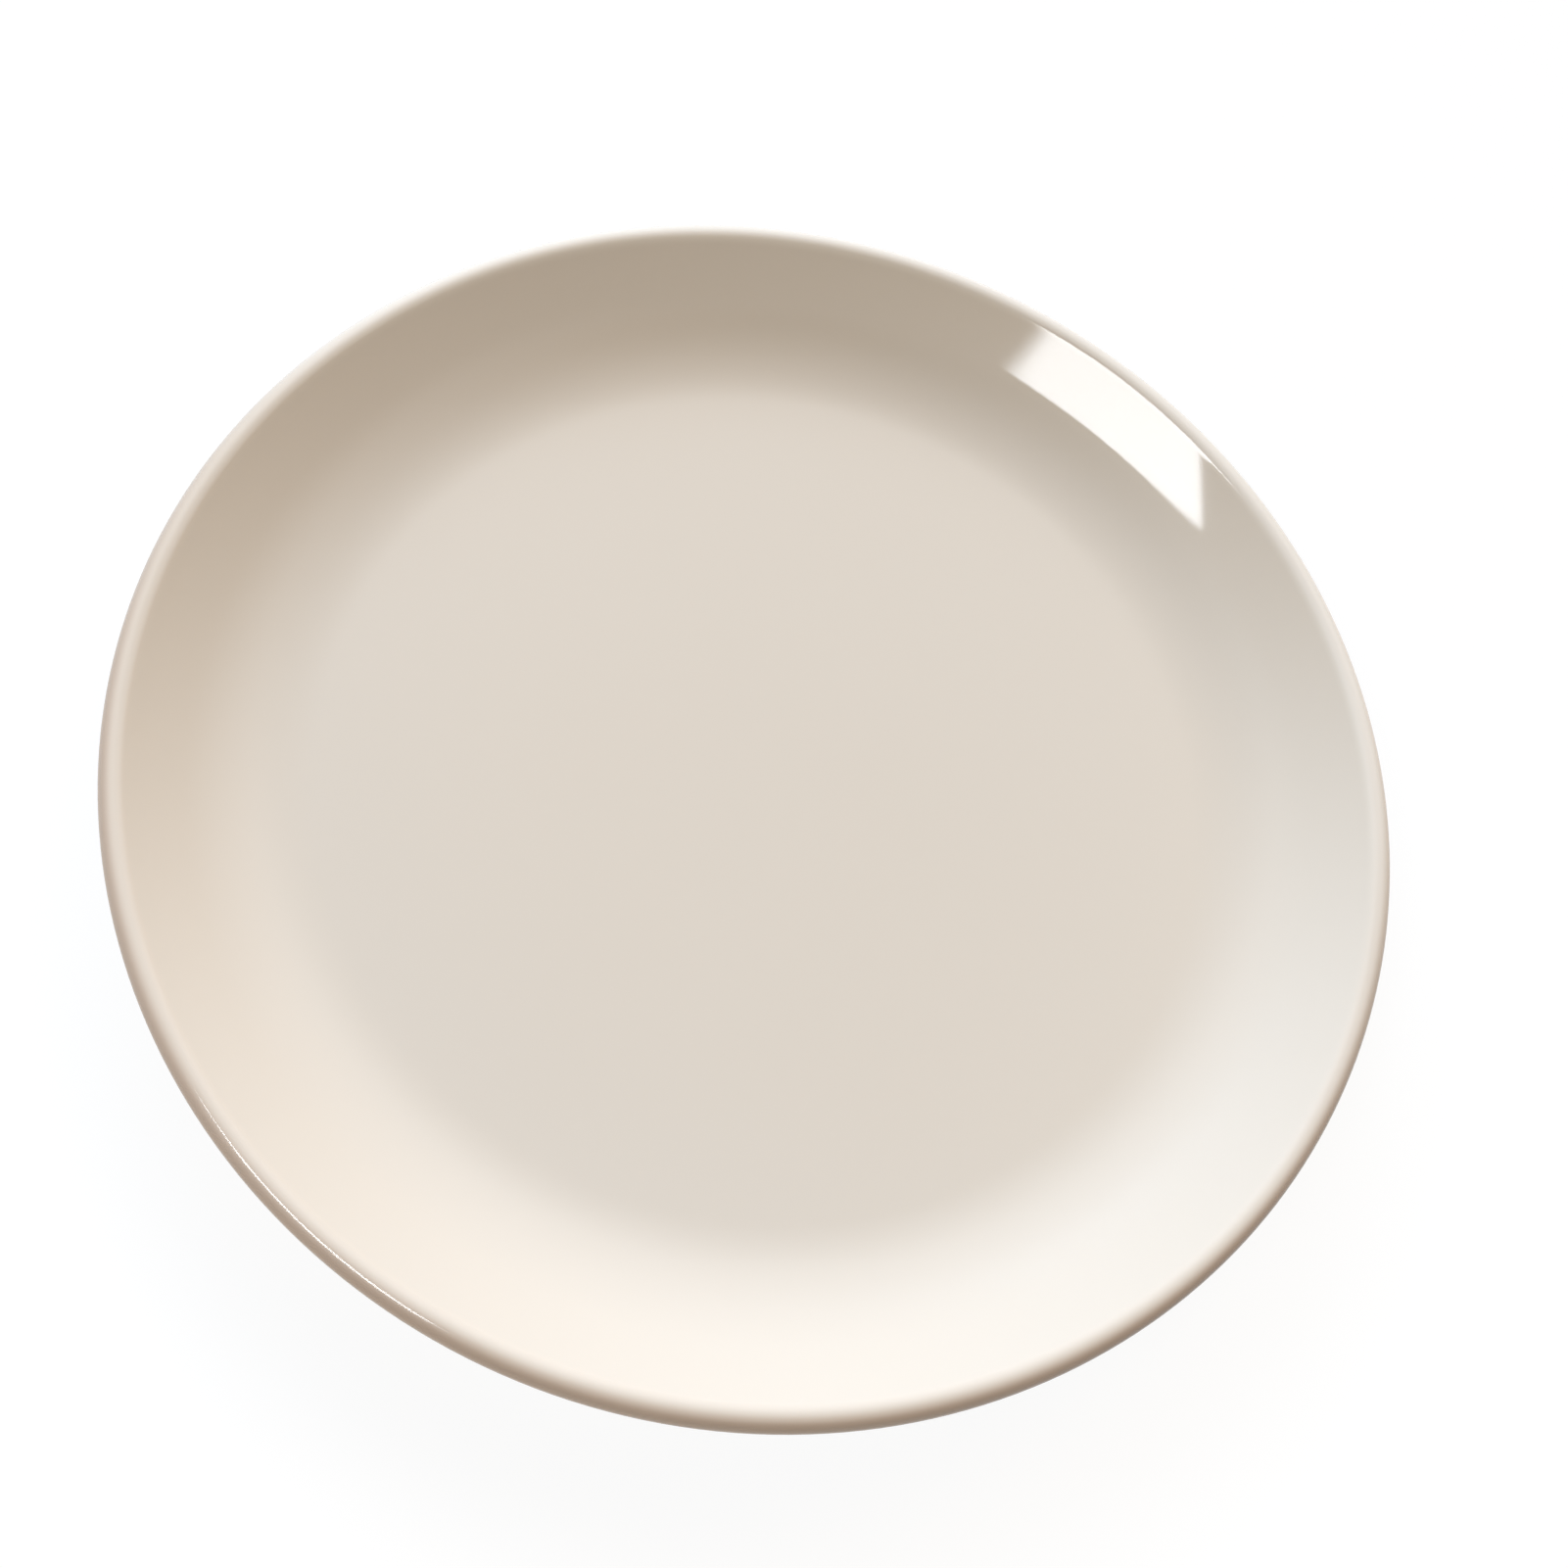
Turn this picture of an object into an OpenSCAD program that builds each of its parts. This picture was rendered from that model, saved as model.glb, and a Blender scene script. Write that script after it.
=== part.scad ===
// Fruit plate: a round coupe plate of fired clay, glazed all over except for the seat of its foot ring.
// Z is up. The origin is on the table, at the centre of the foot ring.
// Every piece is a section turned around Z. A section is a list of [radius, height] points.

/* [Plate] */
// Diameter over the glazed lip
plate_d = 205; // [160:1:300]
// Depth of the well, from the top of the lip down to the glazed floor
well_depth = 13; // [11:0.5:16]

/* [Wall] */
// Width of the wall seen from above, from the edge of the flat floor to the outside of the lip
wall_run = 29.5; // [25:0.5:35]
// Slope of the wall where it meets the lip, in degrees above the horizontal
lip_angle = 41.5; // [36:0.5:48]
// Radius of the gentle hollow of the upper wall, above the tighter bend beside the floor
upper_wall_r = 135; // [90:1:200]
// Thickness of the wall and of its rounded lip, over the glaze
wall_t = 4.6; // [3:0.1:6]

/* [Floor] */
// Thickness of the floor, over the glaze on both sides
floor_t = 5; // [3.5:0.1:7]

/* [Underside] */
// Radius of the outer bend, where the underside turns up into the wall
under_bend_r = 33; // [22:1:42]
// Width of the flat ledge between that bend and the root of the foot ring
ledge_w = 8; // [2:0.5:16]

/* [Foot ring] */
// Height of the glazed underside above the table
foot_h = 3.2; // [2.4:0.1:5]
// Width of the flat seat, between its rounded edges
seat_w = 3.5; // [1.5:0.1:7]
// Radius of the rounded edges of the seat
seat_edge_r = 0.6; // [0.3:0.1:1]
// Lean of the ring's two sides, in degrees from upright
foot_lean = 20; // [5:1:30]
// Radius where the ring's glazed sides meet the underside
root_r = 1.2; // [0.6:0.1:1.6]
// Height above the table up to which the ring is wiped bare of glaze
bare_h = 1.2; // [0.8:0.1:1.5]

/* [Glaze] */
// Thickness of the glaze
glaze_t = 0.35; // [0.15:0.05:0.6]

/* [Hidden] */
// Largest turn, in degrees, between two points of a round stretch in a section
arc_step = 3;
// Sides of a full turn around the plate's axis
$fn = 240;

// Levels of the glazed plate
floor_z = foot_h + floor_t;
lip_z = floor_z + well_depth;

// The lip is half a circle that closes the wall
lip_r = wall_t / 2;
lip_c = [plate_d / 2 - lip_r, lip_z - lip_r];

// The inside of the wall is two arcs that touch each other: a bend that leaves the flat floor,
// then the upper wall, which meets the lip at lip_angle
floor_r = plate_d / 2 - wall_run;
face_run = wall_run - lip_r * (1 + sin(lip_angle));
face_rise = well_depth - lip_r * (1 - cos(lip_angle));
run_over = face_run - upper_wall_r * sin(lip_angle);
rise_over = face_rise - upper_wall_r * (1 - cos(lip_angle));
bend_angle = 2 * atan(rise_over / run_over);
bend_r = upper_wall_r + run_over / sin(bend_angle);
bend_c = [floor_r, floor_z + bend_r];
upper_c = bend_c + (bend_r - upper_wall_r) * [sin(bend_angle), -cos(bend_angle)];

// The outside runs beside the upper wall, then through a bend of its own into the underside
outer_wall_r = upper_wall_r + wall_t;
under_c_z = foot_h + under_bend_r;
under_c_r = upper_c.x + sqrt((outer_wall_r - under_bend_r) ^ 2 - (upper_c.y - under_c_z) ^ 2);
under_c = [under_c_r, under_c_z];
under_angle = atan2(under_c.x - upper_c.x, upper_c.y - under_c.y);

// The foot ring hangs from the underside, a ledge inside the outer bend
root_out = (seat_edge_r + glaze_t + root_r + (foot_h - root_r - seat_edge_r) * sin(foot_lean)) / cos(foot_lean);
root_c_outer = [under_c.x - ledge_w, foot_h - root_r];
seat_outer_r = root_c_outer.x - root_out;
seat_inner_r = seat_outer_r - seat_w;
root_c_inner = [seat_inner_r - root_out, foot_h - root_r];

echo(str("height ", lip_z, ", floor diameter ", 2 * floor_r));
echo(str("inner bend of radius ", bend_r, " turns ", bend_angle, " degrees"));
echo(str("seat of the foot ring from radius ", seat_inner_r, " to ", seat_outer_r));

// Points along an arc, both ends included
function arc(centre, radius, from, to) =
    let (steps = ceil(abs(to - from) / arc_step))
    [for (i = [0:steps])
        let (turn = from + (to - from) * i / steps)
        centre + radius * [cos(turn), sin(turn)]];

function reversed(points) = [for (i = [len(points) - 1:-1:0]) points[i]];

// How far a side of the foot ring stands out from the centre of its seat edge, at a height and under a coat
function side_out(height, coat) =
    (seat_edge_r + coat) / cos(foot_lean) + (height - seat_edge_r) * tan(foot_lean);

// The face, the lip and the outside, down to the wiped line on the ring's outer side.
// coat is the thickness of glaze laid on the clay: 0 follows the clay, glaze_t follows the glaze.
function face_points(coat) =
    let (inset = glaze_t - coat)
    concat(
        [[0, floor_z - inset]],
        arc(bend_c, bend_r + inset, -90, bend_angle - 90),
        arc(upper_c, upper_wall_r + inset, bend_angle - 90, lip_angle - 90),
        arc(lip_c, lip_r - inset, lip_angle + 90, lip_angle - 90),
        arc(upper_c, outer_wall_r - inset, lip_angle - 90, under_angle - 90),
        arc(under_c, under_bend_r - inset, under_angle - 90, -90),
        arc(root_c_outer, root_r + inset, 90, 180 - foot_lean),
        [[seat_outer_r + side_out(bare_h, coat), bare_h]]);

// The recess inside the ring, from the wiped line on its inner side to the axis
function recess_points(coat) =
    let (inset = glaze_t - coat)
    concat(
        [[seat_inner_r - side_out(bare_h, coat), bare_h]],
        arc(root_c_inner, root_r + inset, foot_lean, 90),
        [[0, foot_h + inset]]);

// The bare clay of the ring, from its outer wiped line round the seat to its inner one
function seat_points() =
    concat(
        arc([seat_outer_r, seat_edge_r], seat_edge_r, -foot_lean, -90),
        arc([seat_inner_r, seat_edge_r], seat_edge_r, -90, foot_lean - 180));

// The fired clay: floor, wall, lip and foot ring in one piece
module plate_body() {
    color("linen")
    rotate_extrude()
    polygon(concat(face_points(0), seat_points(), recess_points(0)));
}

// The glaze over the face, round the lip and down the outside to the foot ring
module glaze_coat() {
    color("antiquewhite")
    rotate_extrude()
    polygon(concat(face_points(glaze_t), reversed(face_points(0))));
}

// The glaze in the recess inside the foot ring, cut off from the rest by the bare seat
module base_glaze() {
    color("antiquewhite")
    rotate_extrude()
    polygon(concat(recess_points(glaze_t), reversed(recess_points(0))));
}

plate_body();
glaze_coat();
base_glaze();
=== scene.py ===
# %% [markdown]
# # A cream-glazed fruit plate
# The real thing is one fired piece of clay with a glossy cream glaze over it. This lesson turns its three
# pieces on a wheel, gives them their two finishes and lights them softly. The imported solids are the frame:
# metres, the table at height zero and the plate's axis on Z. So each piece is drawn where it belongs.

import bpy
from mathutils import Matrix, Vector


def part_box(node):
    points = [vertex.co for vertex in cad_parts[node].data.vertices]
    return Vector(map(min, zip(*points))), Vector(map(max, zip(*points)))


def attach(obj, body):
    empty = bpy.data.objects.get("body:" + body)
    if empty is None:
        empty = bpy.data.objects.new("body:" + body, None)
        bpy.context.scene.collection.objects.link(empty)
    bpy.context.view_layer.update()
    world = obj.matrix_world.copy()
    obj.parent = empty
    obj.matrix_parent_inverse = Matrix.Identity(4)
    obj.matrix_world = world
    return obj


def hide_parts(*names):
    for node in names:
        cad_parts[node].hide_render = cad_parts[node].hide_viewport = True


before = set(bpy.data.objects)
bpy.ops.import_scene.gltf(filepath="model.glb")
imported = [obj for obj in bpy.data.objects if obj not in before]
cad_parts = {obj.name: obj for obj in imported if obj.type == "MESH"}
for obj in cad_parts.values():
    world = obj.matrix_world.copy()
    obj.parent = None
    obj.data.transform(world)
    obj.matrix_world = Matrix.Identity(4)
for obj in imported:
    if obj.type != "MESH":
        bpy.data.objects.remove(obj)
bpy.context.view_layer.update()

# %% [markdown]
# The camera stands where the photographer stood: close, high above the near edge, and held at a slant. Its
# place could be set by eye, but here it was fitted, so that the lip and the edge of the flat floor fall on
# their outlines in the photograph. It is written as a photographer would say it: what it aims at, from how
# high and how far, how much it leans, and the lens.

# %% The camera
import math

import bpy
from mathutils import Matrix, Quaternion, Vector

MM = 0.001
camera_aim = Vector((2.84, -5.78, 18.9)) * MM
camera_distance = 274.2 * MM
camera_elevation = math.radians(65.0)
camera_roll = math.radians(23.75)
camera_lens_mm = 40.0

back = Vector((0, -math.cos(camera_elevation), math.sin(camera_elevation)))
camera = bpy.data.objects.new("camera", bpy.data.cameras.new("camera"))
camera.data.lens = camera_lens_mm
camera.rotation_mode = "QUATERNION"
camera.location = camera_aim + back * camera_distance
level = (-back).to_track_quat("-Z", "Y")
camera.rotation_quaternion = level @ Quaternion((0, 0, 1), camera_roll)
bpy.context.collection.objects.link(camera)
bpy.context.scene.camera = camera
bpy.context.scene.view_settings.view_transform = "Standard"
print("camera at", tuple(round(c, 4) for c in camera.location))

# %% [markdown]
# A plate is all one section, turned. Its main sizes are read from the solids' boxes, so the pieces stay as
# big as the frame says. The rest are the few radii and angles that a potter would cut into a template.

# %% The sizes of the section
glaze_low, glaze_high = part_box("glaze_coat")
clay_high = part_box("plate_body")[1]
recess_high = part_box("base_glaze")[1]

plate_r = glaze_high.x
lip_z = glaze_high.z
glaze_t = glaze_high.x - clay_high.x
bare_h = glaze_low.z
foot_h = recess_high.z - glaze_t

well_depth = 13.0 * MM
wall_run = 29.5 * MM
wall_t = 4.6 * MM
upper_wall_r = 135.0 * MM
under_bend_r = 33.0 * MM
ledge_w = 8.0 * MM
seat_w = 3.5 * MM
seat_edge_r = 0.6 * MM
root_r = 1.2 * MM
lip_angle = math.radians(41.5)
foot_lean = math.radians(20)
print(f"lip {lip_z / MM:.2f} mm high, glaze {glaze_t / MM:.2f} mm, foot ring {foot_h / MM:.2f} mm high")

# %% [markdown]
# Each curve of the section is an arc that touches the next one, so light runs over the plate without a
# break. Given the depth of the well and the width of the wall, only one bend beside the floor meets the
# upper wall smoothly, and its radius follows from the two differences below. The outside runs beside the
# inside, one wall's thickness away, and has a bend of its own down to the foot ring.

# %% The centres of the arcs
lip_r = wall_t / 2
floor_z = lip_z - well_depth
floor_r = plate_r - wall_run
lip_c = Vector((plate_r - lip_r, lip_z - lip_r))

run_over = wall_run - lip_r * (1 + math.sin(lip_angle)) - upper_wall_r * math.sin(lip_angle)
rise_over = well_depth - lip_r * (1 - math.cos(lip_angle)) - upper_wall_r * (1 - math.cos(lip_angle))
bend_angle = 2 * math.atan(rise_over / run_over)
bend_r = upper_wall_r + run_over / math.sin(bend_angle)
bend_c = Vector((floor_r, floor_z + bend_r))
upper_c = bend_c + (bend_r - upper_wall_r) * Vector((math.sin(bend_angle), -math.cos(bend_angle)))

under_reach = upper_wall_r + wall_t - under_bend_r
under_drop = upper_c.y - foot_h - under_bend_r
under_angle = math.acos(under_drop / under_reach)
under_c = Vector((upper_c.x + under_reach * math.sin(under_angle), foot_h + under_bend_r))
print(f"bend of {bend_r / MM:.1f} mm turns {math.degrees(bend_angle):.1f} degrees")

# %% [markdown]
# The foot ring is a low wall that leans in on both sides to a narrow seat. Its two sides are mirror images
# across the middle of the ring, so one small class gives either of them: the way the side faces, the
# centres of its rounded seat edge and of its hollow root, and the middle of the glaze's rolled end.

# %% The two sides of the foot ring
root_rise = foot_h - root_r - seat_edge_r
root_out = (seat_edge_r + glaze_t + root_r + root_rise * math.sin(foot_lean)) / math.cos(foot_lean)
seat_outer_r = under_c.x - ledge_w - root_out
seat_inner_r = seat_outer_r - seat_w


class RingSide:
    """One side of the foot ring. out is 1 for the side that faces outwards and -1 for the other."""

    def __init__(self, seat_r, out):
        self.out = out
        self.faces = Vector((out * math.cos(foot_lean), -math.sin(foot_lean)))
        self.edge_c = Vector((seat_r, seat_edge_r))
        self.root_c = Vector((seat_r + out * root_out, foot_h - root_r))
        self.clay_end = self.edge_c + seat_edge_r * self.faces
        up = Vector((out * math.sin(foot_lean), math.cos(foot_lean)))
        middle = self.clay_end + self.faces * glaze_t / 2
        self.roll_c = middle + up * (bare_h + glaze_t / 2 - middle.y) / up.y


outer_side = RingSide(seat_outer_r, 1)
inner_side = RingSide(seat_inner_r, -1)
print(f"seat from radius {seat_inner_r / MM:.2f} to {seat_outer_r / MM:.2f} mm")

# %% [markdown]
# In Blender a lathe is bmesh's spin operator. It is used twice here. A single vertex, spun about the centre
# of an arc, draws that arc of the template. The finished template, spun about Z, is the turned piece.
# Drawing the arcs this way keeps every curve true, which matters on a glossy surface: a bent reflection
# shows a flat spot that the outline would hide. A Screw modifier would turn the template too, but spun here
# it can be merged, checked and measured at once. A quarter is spun first and then repeated, so that rounding
# does not add up over the full turn.

# %% The template and the wheel
import bmesh

SEGMENTS = 256
QUARTERS = 4
MERGE_DISTANCE = 0.001 * MM


class Template:
    """A section in the plane of X and Z, drawn from its tip like a pencil line."""

    def __init__(self):
        self.mesh = bmesh.new()
        self.tip = None

    def start(self, radius, height):
        self.tip = self.mesh.verts.new((radius, 0, height))

    def line(self, radius, height, parts=1):
        step = (Vector((radius, 0, height)) - self.tip.co) / parts
        for _ in range(parts):
            drawn = bmesh.ops.extrude_vert_indiv(self.mesh, verts=[self.tip])
            self.tip = drawn["verts"][0]
            self.tip.co += step

    def arc(self, centre, turn, steps):
        drawn = bmesh.ops.spin(self.mesh, geom=[self.tip], cent=(centre.x, 0, centre.y),
                               axis=(0, -1, 0), angle=turn, steps=steps)
        self.tip = next(v for v in drawn["geom_last"] if isinstance(v, bmesh.types.BMVert))

    def turn(self, name):
        """Spins the template into a closed piece, with its poles and its seam merged."""
        work = self.mesh
        wheel = {"cent": (0, 0, 0), "axis": (0, 0, 1)}
        bmesh.ops.spin(work, geom=work.verts[:] + work.edges[:], angle=math.tau / QUARTERS,
                       steps=SEGMENTS // QUARTERS, **wheel)
        bmesh.ops.spin(work, geom=work.verts[:] + work.edges[:] + work.faces[:],
                       angle=math.tau * (QUARTERS - 1) / QUARTERS, steps=QUARTERS - 1,
                       use_duplicate=True, **wheel)
        bmesh.ops.remove_doubles(work, verts=work.verts, dist=MERGE_DISTANCE)
        bmesh.ops.recalc_face_normals(work, faces=work.faces)
        open_edges = sum(not edge.is_manifold for edge in work.edges)
        for face in work.faces:
            face.smooth = True
        mesh = bpy.data.meshes.new(name)
        work.to_mesh(mesh)
        volume = work.calc_volume(signed=True) / MM**3
        work.free()
        piece = bpy.data.objects.new(name, mesh)
        bpy.context.collection.objects.link(piece)
        print(f"{name}: {len(mesh.polygons)} faces, {open_edges} open edges, {volume:.0f} mm3")
        return piece


print("the wheel turns", SEGMENTS, "steps")

# %% [markdown]
# The face, the lip and the outside are one long line, and the clay follows the same line as the glaze, one
# glaze's thickness deeper. All the arcs keep their centres when the line sinks, so one function draws both.

# %% The lines of the plate
RIGHT_ANGLE = math.radians(90)
FLOOR_RINGS = 12
BEND_STEPS = 36
WALL_STEPS = 18
LIP_STEPS = 48
UNDER_BEND_STEPS = 30
ROOT_STEPS = 10
ROLL_STEPS = 10


def draw_face(template, depth):
    """From the middle of the floor, over the lip and down to the foot ring's outer root."""
    template.start(0, floor_z - depth)
    template.line(floor_r, floor_z - depth, parts=FLOOR_RINGS)
    template.arc(bend_c, bend_angle, BEND_STEPS)
    template.arc(upper_c, lip_angle - bend_angle, WALL_STEPS)
    template.arc(lip_c, -math.pi, LIP_STEPS)
    template.arc(upper_c, under_angle - lip_angle, WALL_STEPS)
    template.arc(under_c, -under_angle, UNDER_BEND_STEPS)
    template.line(outer_side.root_c.x, foot_h + depth)
    template.arc(outer_side.root_c, RIGHT_ANGLE - foot_lean, ROOT_STEPS)


def draw_recess(template, depth):
    """From the middle of the underside to the foot ring's inner root."""
    template.start(0, foot_h + depth)
    template.line(inner_side.root_c.x, foot_h + depth, parts=FLOOR_RINGS)
    template.arc(inner_side.root_c, foot_lean - RIGHT_ANGLE, ROOT_STEPS)


def draw_rolled_end(template, side):
    """Down the side of the ring on the glaze, then round its thick end to the clay."""
    on_glaze = side.roll_c + side.faces * glaze_t / 2
    template.line(*on_glaze)
    template.arc(side.roll_c, -side.out * math.pi, ROLL_STEPS)


print(f"wiped line at {bare_h / MM:.2f} mm above the table")

# %% [markdown]
# The clay is formed in one go: floor, wall, lip and foot ring. Only the seat of the ring is left to see,
# because it is wiped clean before firing so that the plate does not stick to the shelf of the kiln. A small
# round edge on each side of the seat is what the sponge leaves.

# %% The fired clay
SIDE_PARTS = 4
EDGE_STEPS = 8

template = Template()
draw_face(template, glaze_t)
template.line(*outer_side.clay_end, parts=SIDE_PARTS)
template.arc(outer_side.edge_c, foot_lean - RIGHT_ANGLE, EDGE_STEPS)
template.line(seat_inner_r, 0, parts=SIDE_PARTS)
template.arc(inner_side.edge_c, foot_lean - RIGHT_ANGLE, EDGE_STEPS)
draw_recess(template, glaze_t)
template.line(*inner_side.clay_end, parts=SIDE_PARTS)
clay_body = template.turn("clay_body")

# %% [markdown]
# Glaze is glass that melted and ran a little before it set. At the wiped line surface tension pulls it into
# a thick rounded end, which catches the light on the real ring. A Solidify modifier would give the coat its
# thickness but cut that end off square, so the coat is drawn as a closed skin: its outer line ends in the
# roll, and the line along the clay meets it there.

# %% The glaze over the plate
template = Template()
draw_face(template, 0)
draw_rolled_end(template, outer_side)
draw_face(template, glaze_t)
template.line(*(outer_side.roll_c - outer_side.faces * glaze_t / 2))
plate_glaze = template.turn("plate_glaze")

# %% [markdown]
# The bare seat cuts the glaze in the recess off from the rest. It is the same skin again, from the middle
# of the underside out to a rolled end on the inner side of the ring.

# %% The glaze in the recess
template = Template()
draw_recess(template, 0)
draw_rolled_end(template, inner_side)
draw_recess(template, glaze_t)
template.line(*(inner_side.roll_c - inner_side.faces * glaze_t / 2))
recess_glaze = template.turn("recess_glaze")

# %% [markdown]
# A finish is a net of nodes, and it is easier to read as arithmetic. A Wire wraps one socket. A sum of
# wires adds Math nodes, and every other node comes from one method, which is given the node's type, its
# settings and what goes into its sockets.

# %% Wires for the finishes


class Wire:
    """An output socket that can be used in a sum."""

    def __init__(self, socket):
        self.socket = socket

    @staticmethod
    def node(tree, kind, settings=None, sockets=None, output=0):
        made = tree.nodes.new(kind)
        for name, value in (settings or {}).items():
            setattr(made, name, value)
        for name, value in (sockets or {}).items():
            if isinstance(value, Wire):
                tree.links.new(value.socket, made.inputs[name])
            else:
                made.inputs[name].default_value = value
        return Wire(made.outputs[output]) if made.outputs else made

    def maths(self, operation, *others, first=None):
        values = (self, *others) if first is None else (first, self)
        tree = self.socket.id_data
        return Wire.node(tree, "ShaderNodeMath", {"operation": operation}, dict(enumerate(values)))

    def __add__(self, other):
        return self.maths("ADD", other)

    def __sub__(self, other):
        return self.maths("SUBTRACT", other)

    def __rsub__(self, other):
        return self.maths("SUBTRACT", first=other)

    def __mul__(self, other):
        return self.maths("MULTIPLY", other)

    def __truediv__(self, other):
        return self.maths("DIVIDE", other)

    def __pow__(self, other):
        return self.maths("POWER", other)

    __radd__ = __add__
    __rmul__ = __mul__


print("finishes are written with", Wire.__name__)

# %% [markdown]
# Both finishes need to know how far out and how high on the plate a point lies. Object coordinates are
# metres from the plate's own origin, so the distance from the axis is a sum of squares. The other helpers
# are the few nodes that the finishes share: a smooth ramp, cloudy noise, a blend of two colours, and the
# shader itself.

# %% Where a point lies on the plate
SURFACE_IOR = 1.5


def new_finish(name):
    finish = bpy.data.materials.new(name)
    finish.use_nodes = True
    finish.node_tree.nodes.clear()
    return finish


def parts_of(tree, vector):
    """The X, Y and Z of a vector."""
    split = Wire.node(tree, "ShaderNodeSeparateXYZ", sockets={"Vector": vector})
    return [Wire(output) for output in split.socket.node.outputs]


def place_on_plate(tree):
    """The point itself, its distance from the axis and its height."""
    point = Wire.node(tree, "ShaderNodeTexCoord", output="Object")
    x, y, z = parts_of(tree, point)
    return point, (x * x + y * y) ** 0.5, z


def ramp(tree, value, low, high):
    """Rises smoothly from 0 to 1 as value goes from low to high."""
    return Wire.node(tree, "ShaderNodeMapRange", {"interpolation_type": "SMOOTHSTEP"},
                     {"Value": value, "From Min": low, "From Max": high})


def noise(tree, point, size, detail=2.0):
    """Cloudy noise around 0.5, with spots of about the given size."""
    return Wire.node(tree, "ShaderNodeTexNoise",
                     sockets={"Vector": point, "Scale": 1 / size, "Detail": detail})


def blend(tree, amount, first, second):
    """A colour between two others."""
    return Wire.node(tree, "ShaderNodeMix", {"data_type": "RGBA"},
                     {"Factor": amount, 6: first, 7: second}, output=2)


def surface(finish, colour, roughness, bump_height, bump_depth):
    """The shader of a finish. bump_depth is the depth in metres of a full step of bump_height."""
    tree = finish.node_tree
    normal = Wire.node(tree, "ShaderNodeBump", sockets={"Height": bump_height, "Distance": bump_depth})
    looks = {"Base Color": colour, "Roughness": roughness, "Normal": normal, "IOR": SURFACE_IOR}
    shader = Wire.node(tree, "ShaderNodeBsdfPrincipled", sockets=looks)
    Wire.node(tree, "ShaderNodeOutputMaterial", sockets={"Surface": shader})


print("a point is known by its distance from the axis and its height")

# %% [markdown]
# The glaze is a plain glossy cream. What keeps it from looking like paint is small, and some of it is painted
# light and shade. The crest of the lip is painted paler, a painted highlight where it faces the light from
# beyond the plate, and palest on the far lip. The outer half of the lip is tan, partly the warm clay under a
# thin coat and mostly painted shade on the near side, where the lip turns away from the light. The glaze also
# lies a little thicker in the bend beside the floor. A painted mask could hold all this, but the places are
# simple: on the lip they are shares of the lip's radius, counted from its middle, and from the near side of
# the plate to the far side they are shares of the plate's radius.

# %% Where the glaze is thick and thin, and where light and shade are painted
BEND_FADE_IN = 8 * MM
BEND_FADE_OUT = 10 * MM
BEND_GONE = 20 * MM
# Where the crest is painted paler: a painted highlight, made palest towards the far lip, which faces the
# light.
CREST_STARTS = -1.0
CREST_FULL = -0.3
CREST_HEIGHT = 0.5
# Where the outer lip is painted tan: partly clay under a thin coat, mostly painted shade on the near side.
TAN_LIP_STARTS = -0.15
TAN_LIP_FULL = 0.65
NEAR_SHADE_SPREAD = 0.5
FAR_LIGHT_FULL = 0.6

cream_glaze = new_finish("cream_glaze")
tree = cream_glaze.node_tree
point, out, up = place_on_plate(tree)
away = parts_of(tree, point)[1]

past_bend = ramp(tree, out, floor_r + BEND_FADE_OUT, floor_r + BEND_GONE)
in_bend = ramp(tree, out, floor_r, floor_r + BEND_FADE_IN) * (1 - past_bend)
# The crest mask carries a painted highlight on the lip.
over_lip = ramp(tree, out, lip_c.x + CREST_STARTS * lip_r, lip_c.x + CREST_FULL * lip_r)
painted_crest_mask = over_lip * ramp(tree, up, lip_c.y, lip_c.y + CREST_HEIGHT * lip_r)
# Painted shade: the outer lip is darkened, strongest on the near side, which turns away from the light.
on_outer_lip = ramp(tree, out, lip_c.x + TAN_LIP_STARTS * lip_r, lip_c.x + TAN_LIP_FULL * lip_r)
near_lip_shade = 1 - ramp(tree, away, -NEAR_SHADE_SPREAD * plate_r, NEAR_SHADE_SPREAD * plate_r)
# Painted light: the crest grows paler towards the far side of the plate, where the light comes from.
far_lip_light_mask = ramp(tree, away, 0, FAR_LIGHT_FULL * plate_r)
print("glaze thins", abs(TAN_LIP_STARTS), "of the lip's radius inside its crest")

# %% [markdown]
# With those places known, the colours are blended one over the other, from the wide tone of the floor to the
# painted highlight on the crest and the tan on the outer edge of the lip, which is partly painted shade. The
# tone drifts a little over the plate, as a real coat does. Glaze is glass, so it is smooth and mirrors
# sharply, but it
# is not quite flat: long ripples and a fine peel bend the reflections.

# %% The cream glaze
CREAM = (0.75, 0.68, 0.595, 1)
CREAM_THICK = (0.76, 0.695, 0.615, 1)
# The two crest colours are painted highlights, the second one for the far lip.
PAINTED_CREST_LIGHT = (0.78, 0.70, 0.612, 1)
PAINTED_FAR_LIP_LIGHT = (0.88, 0.82, 0.745, 1)
# A tan that is partly the clay under a thin coat and mostly painted shade on the near lip.
TAN_LIP_AND_SHADE = (0.56, 0.44, 0.35, 1)
BEND_THICKNESS = 0.35
DRIFT_THICKNESS = 0.5
DRIFT_SIZE = 45 * MM
RIPPLE_SIZE = 14 * MM
RIPPLE_DEPTH = 0.006 * MM
PEEL_SIZE = 2.5 * MM
PEEL_SHARE = 0.12
GLAZE_ROUGHNESS = 0.04
ROUGHNESS_DRIFT = 0.03

drift = noise(tree, point, DRIFT_SIZE)
thickness = BEND_THICKNESS * in_bend + DRIFT_THICKNESS * drift
# Painted highlight: the crest is blended paler, palest on the far lip.
crest = blend(tree, far_lip_light_mask, PAINTED_CREST_LIGHT, PAINTED_FAR_LIP_LIGHT)
colour = blend(tree, thickness, CREAM, CREAM_THICK)
colour = blend(tree, painted_crest_mask, colour, crest)
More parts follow.
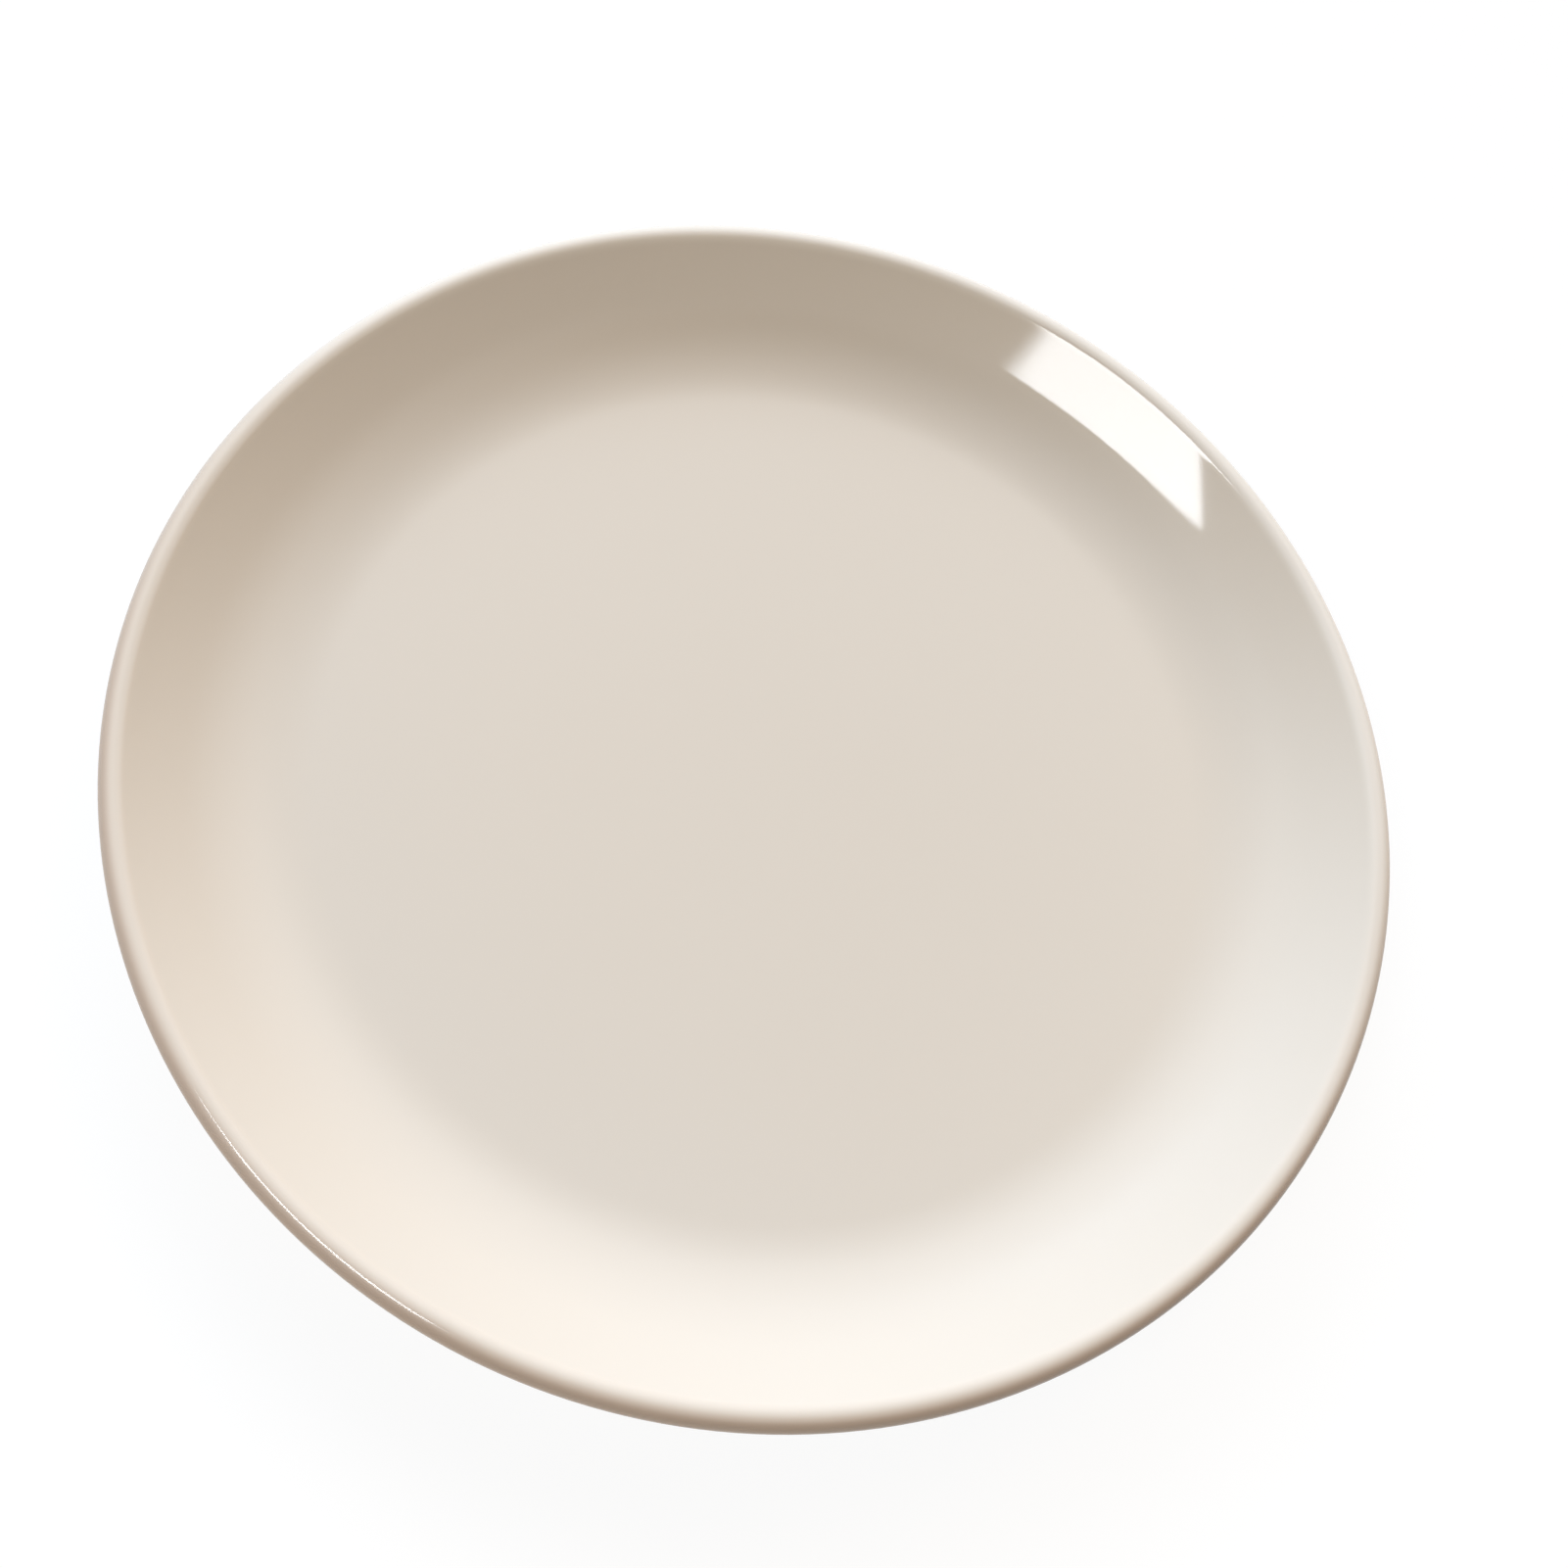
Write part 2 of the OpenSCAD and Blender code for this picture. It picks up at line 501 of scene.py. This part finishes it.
# Painted shade: the outer half of the lip turns tan, strongest on the near side and fading out to the far
# side.
colour = blend(tree, on_outer_lip * near_lip_shade, colour, TAN_LIP_AND_SHADE)

ripple = noise(tree, point, RIPPLE_SIZE, detail=1.0)
peel = noise(tree, point, PEEL_SIZE, detail=1.0)
roughness = GLAZE_ROUGHNESS + ROUGHNESS_DRIFT * drift
surface(cream_glaze, colour, roughness, ripple + PEEL_SHARE * peel, RIPPLE_DEPTH)
print("cream glaze:", len(tree.nodes), "nodes")

# %% [markdown]
# The bare clay is matt and a little sandy. The sponge and the grinding disc go round and round the ring, so
# its fine lines do too: their noise is read by distance from the axis and height alone. Beside the glaze the
# clay is toasted slightly darker, as fired clay is there.

# %% The fired clay's finish
CLAY = (0.62, 0.54, 0.44, 1)
CLAY_TOASTED = (0.52, 0.40, 0.28, 1)
CLAY_SAND = (0.40, 0.33, 0.26, 1)
SAND_SIZE = 0.5 * MM
SAND_STARTS = 0.56
SAND_FULL = 0.72
SAND_SHARE = 0.45
GRAIN_SIZE = 0.25 * MM
GRAIN_SHARE = 0.5
LINE_SIZE = 0.3 * MM
LINE_SHARE = 0.6
TOASTED_WIDTH = 0.6 * MM
TOASTED_SHARE = 0.7
CLAY_ROUGHNESS = 0.72
ROUGHNESS_GRAIN = 0.2
CLAY_DEPTH = 0.05 * MM

fired_clay = new_finish("fired_clay")
tree = fired_clay.node_tree
point, out, up = place_on_plate(tree)
sand = ramp(tree, noise(tree, point, SAND_SIZE, detail=3.0), SAND_STARTS, SAND_FULL)
grain = noise(tree, point, GRAIN_SIZE, detail=4.0)
line_point = Wire.node(tree, "ShaderNodeCombineXYZ", sockets={"X": out, "Y": up})
lines = noise(tree, line_point, LINE_SIZE)
toasted = ramp(tree, up, bare_h - TOASTED_WIDTH, bare_h)

colour = blend(tree, SAND_SHARE * sand, CLAY, CLAY_SAND)
colour = blend(tree, TOASTED_SHARE * toasted, colour, CLAY_TOASTED)
roughness = CLAY_ROUGHNESS + ROUGHNESS_GRAIN * grain
surface(fired_clay, colour, roughness, GRAIN_SHARE * grain + LINE_SHARE * lines, CLAY_DEPTH)
print("fired clay:", len(tree.nodes), "nodes")

# %% [markdown]
# Each piece now takes its finish, stands for its solid and stays with the plate's one body.

# %% Dressing the plate
for piece, node, slot, finish in (
    (clay_body, "plate_body", "fired_clay", fired_clay),
    (plate_glaze, "glaze_coat", "cream_glaze", cream_glaze),
    (recess_glaze, "base_glaze", "cream_glaze", cream_glaze),
):
    piece.data.materials.append(finish)
    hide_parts(node)
    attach(piece, "root")
    print(piece.name, "stands for", node)

# %% [markdown]
# The table is a plain white sheet, made as one big square, a hair below the plate so that the two faces do
# not fight. What the camera and a reflection see of it is mostly its own white, so that it reads as white
# paper, with enough real light left in it to hold the plate's shadow. Light that bounces off it meets a
# plain grey, so that it does not glow up at the plate.

# %% The table
TABLE_HALF = 4.0
TABLE_GREY = (0.35, 0.35, 0.35, 1)
TABLE_LIT = (0.1, 0.1, 0.1, 1)
TABLE_WHITE = 0.915
TABLE_GAP = 0.02 * MM

work = bmesh.new()
bmesh.ops.create_grid(work, x_segments=1, y_segments=1, size=TABLE_HALF,
                      matrix=Matrix.Translation((0, 0, -TABLE_GAP)))
table_mesh = bpy.data.meshes.new("table")
work.to_mesh(table_mesh)
work.free()
table = bpy.data.objects.new("table", table_mesh)
bpy.context.collection.objects.link(table)


def is_seen(tree):
    """1 for a ray from the camera, a reflection or a view through glass, else 0."""
    path = Wire.node(tree, "ShaderNodeLightPath", output="Is Camera Ray")
    rays = path.socket.node.outputs
    return path + Wire(rays["Is Glossy Ray"]) + Wire(rays["Is Transmission Ray"])


paper = new_finish("table_paper")
tree = paper.node_tree
bounced = Wire.node(tree, "ShaderNodeBsdfDiffuse", sockets={"Color": TABLE_GREY})
lit = Wire.node(tree, "ShaderNodeBsdfDiffuse", sockets={"Color": TABLE_LIT})
white = Wire.node(tree, "ShaderNodeEmission", sockets={"Strength": TABLE_WHITE})
seen = Wire.node(tree, "ShaderNodeAddShader", sockets={0: lit, 1: white})
mixed = Wire.node(tree, "ShaderNodeMixShader", sockets={0: is_seen(tree), 1: bounced, 2: seen})
Wire.node(tree, "ShaderNodeOutputMaterial", sockets={"Surface": mixed})
table_mesh.materials.append(paper)
print("table", 2 * TABLE_HALF, "m wide")

# %% [markdown]
# The light is soft and comes from beyond the plate, about as high as the wall is steep. That is why the near
# wall is bright and the far wall is in shade. It is cooler on the left than on the right, so the left wall
# looks warmer than the right one, and a low, weak glow in front keeps the far wall from going dull. Lamps
# would do, but each would show in the glaze. So each is a soft patch in the world, which lights the plate
# without a hard shadow.

# %% The soft light
BLACK = (0, 0, 0, 1)
LEFT_LIGHT = (0.79, 1.0, 1.255, 1)
RIGHT_LIGHT = (1.337, 1.0, 0.62, 1)
FRONT_LIGHT = (1.31, 1.0, 0.585, 1)
LEFT_STRENGTH = 10.4
RIGHT_STRENGTH = 4.92
FRONT_STRENGTH = 3.12

room = bpy.data.worlds.new("room")
room.use_nodes = True
room.node_tree.nodes.clear()
bpy.context.scene.world = room
sky = room.node_tree
toward = Wire.node(sky, "ShaderNodeTexCoord", output="Generated")


def glow(azimuth, elevation, width, height):
    """A soft patch that fades from 1 at its middle. All four are angles in degrees."""
    turned = Wire.node(sky, "ShaderNodeVectorRotate", {"rotation_type": "Z_AXIS"},
                       {"Vector": toward, "Angle": -math.radians(azimuth)})
    ahead, aside, rise = parts_of(sky, turned)
    across = aside.maths("ARCTAN2", ahead) / math.radians(width)
    above = (rise.maths("ARCSINE") - math.radians(elevation)) / math.radians(height)
    return (0 - across * across - above * above).maths("EXPONENT")


def light(patch, colour, strength):
    """Light of one colour where the patch is 1, and none where it is 0."""
    return Wire.node(sky, "ShaderNodeBackground",
                     sockets={"Color": blend(sky, patch, BLACK, colour), "Strength": strength})


def both(first, second):
    return Wire.node(sky, "ShaderNodeAddShader", sockets={0: first, 1: second})


left = light(glow(azimuth=125, elevation=32, width=24, height=14), LEFT_LIGHT, LEFT_STRENGTH)
right = light(glow(azimuth=74, elevation=42, width=24, height=16), RIGHT_LIGHT, RIGHT_STRENGTH)
front = light(glow(azimuth=245, elevation=12, width=30, height=8), FRONT_LIGHT, FRONT_STRENGTH)
glows = both(both(left, right), front)
print("three soft glows")

# %% [markdown]
# What the camera sees behind the plate, and what the glaze mirrors, is not the glows but a plain white room
# with a dimmer ceiling. The Light Path node swaps one for the other, so the white adds no light of its own.

# %% The white room
WHITE = (1, 1, 1, 1)
CEILING_DIM = 0.9
CEILING_START = math.radians(53)
CEILING_FULL = math.radians(77)

sky_height = parts_of(sky, toward)[2]
dimming = ramp(sky, sky_height, math.sin(CEILING_START), math.sin(CEILING_FULL))
white_room = light(1 - CEILING_DIM * dimming, WHITE, strength=1)
swapped = Wire.node(sky, "ShaderNodeMixShader", sockets={0: is_seen(sky), 1: glows, 2: white_room})
Wire.node(sky, "ShaderNodeOutputWorld", sockets={"Surface": swapped})
print("world:", len(sky.nodes), "nodes")

# %% [markdown]
# The sharp white patch on the far wall is the mirror image of one bright panel, high behind the camera's
# left shoulder. A rectangular area lamp makes that patch, and it adds a little light to everything else. Its
# place was found by following the rays that the wall mirrors at the corners of the patch. One end of the
# patch is soft, so the panel fades in over the first part of its length. It is slightly cool, like daylight,
# so that the patch stays white on the cream.

# %% The bright panel
PANEL_RADIANCE = 14.0
PANEL_LIGHT = (0.95, 1.0, 1.06, 1)
PANEL_SOFT_END = 0.13
panel_corner = Vector((-0.0917, -0.5933, 0.9964))
panel_along = Vector((-0.956, 0.285, 0.072)).normalized()
panel_out = Vector((-0.229, -0.875, 0.427)).normalized()
panel_length = 0.6
panel_depth = 0.44

panel = bpy.data.objects.new("panel", bpy.data.lights.new("panel", "AREA"))
panel.data.shape = "RECTANGLE"
panel.data.size = panel_length
panel.data.size_y = panel_depth
panel.data.energy = PANEL_RADIANCE * math.pi * panel_length * panel_depth
panel_middle = panel_corner + panel_along * panel_length / 2 + panel_out * panel_depth / 2
panel_axes = Matrix((panel_along, panel_out, panel_along.cross(panel_out))).transposed()
panel.matrix_world = Matrix.Translation(panel_middle) @ panel_axes.to_4x4()
bpy.context.collection.objects.link(panel)

panel.data.use_nodes = True
tree = panel.data.node_tree
tree.nodes.clear()
on_panel = Wire.node(tree, "ShaderNodeNewGeometry", output="Parametric")
fade = ramp(tree, parts_of(tree, on_panel)[0], 0, PANEL_SOFT_END)
shine = Wire.node(tree, "ShaderNodeEmission", sockets={"Color": blend(tree, fade, BLACK, PANEL_LIGHT)})
Wire.node(tree, "ShaderNodeOutputLight", sockets={"Surface": shine})
print("panel at", tuple(round(c, 3) for c in panel_middle))
